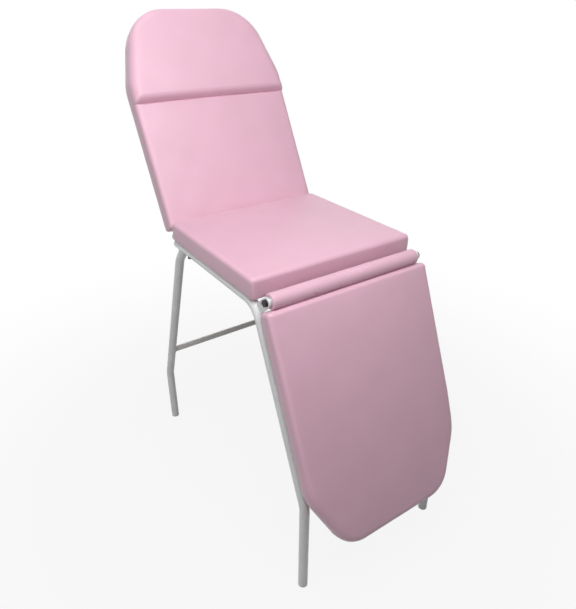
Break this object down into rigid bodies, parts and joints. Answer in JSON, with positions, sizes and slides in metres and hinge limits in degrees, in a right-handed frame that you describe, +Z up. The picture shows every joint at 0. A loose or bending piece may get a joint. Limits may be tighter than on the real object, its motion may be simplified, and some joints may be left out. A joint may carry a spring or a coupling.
{
  "type": "examination table",
  "caption": "Reclining examination and treatment couch chair: splayed tube frame, fixed seat pad, backrest that leans back to flat, knee roller and leg rest that lifts to flat.",
  "frame": {"origin": "on the floor under the middle of the whole couch, with the backrest upright and the leg rest hanging", "axes": "+Z up, the sitter faces -Y, +X is the side to the right in a view along +Y, metres"},
  "size_m": [0.48, 1.0564, 1.3337],
  "materials": {
    "vinyl": "semi-matte pink upholstery vinyl with a fine grain",
    "enamel": "light grey gloss enamel on steel",
    "zinc": "zinc plated steel",
    "black_bolt": "black oxide steel",
    "cap_plastic": "pale moulded plastic",
    "plywood": "raw birch plywood"
  },
  "bodies": {
    "frame": {"seat_rail_left": "enamel", "seat_rail_right": "enamel", "front_leg_left": "enamel", "front_leg_right": "enamel", "rear_leg_left": "enamel", "rear_leg_right": "enamel", "rear_stretcher": "enamel", "seat_cross_tube_front": "enamel", "seat_cross_tube_rear": "enamel", "foot_cap_front_left": "cap_plastic", "foot_cap_front_right": "cap_plastic", "foot_cap_rear_left": "cap_plastic", "foot_cap_rear_right": "cap_plastic", "rail_plug_left": "cap_plastic", "rail_plug_right": "cap_plastic", "seat_board": "plywood", "seat_cover_wrap": "vinyl", "seat_cushion": "vinyl", "seat_bolts": "black_bolt", "leg_hinge_plate_left": "enamel", "leg_hinge_plate_right": "enamel", "leg_hinge_pawl_left": "zinc", "leg_hinge_pawl_right": "zinc", "back_hinge_plate_left": "enamel", "back_hinge_plate_right": "enamel", "back_hinge_pawl_left": "zinc", "back_hinge_pawl_right": "zinc", "pawl_rivets": "zinc"},
    "backrest": {"back_arm_left": "enamel", "back_arm_right": "enamel", "back_hinge_bolts": "zinc", "back_hinge_nuts": "zinc", "back_board": "plywood", "back_cover_wrap": "vinyl", "back_cushion": "vinyl", "headrest_cushion": "vinyl", "back_arm_screws": "zinc"},
    "leg_rest": {"leg_core_tube": "enamel", "knee_roller_cover": "vinyl", "leg_wheel_left": "zinc", "leg_wheel_right": "zinc", "leg_hinge_bolts": "black_bolt", "leg_hinge_nuts": "zinc", "leg_arm_left": "enamel", "leg_arm_right": "enamel", "leg_stop_bar": "enamel", "leg_board": "plywood", "leg_cover_wrap": "vinyl", "leg_cushion": "vinyl", "leg_arm_screws": "zinc"}
  },
  "joints": [
    {"name": "backrest", "type": "hinge", "parent": "frame", "child": "backrest", "pos_m": [0, 0.25195, 0.7572], "axis": [-1, 0, 0], "range_deg": [0, 62]},
    {"name": "leg_rest", "type": "hinge", "parent": "frame", "child": "leg_rest", "pos_m": [0, -0.26716, 0.781], "axis": [-1, 0, 0], "range_deg": [0, 67]}
  ]
}
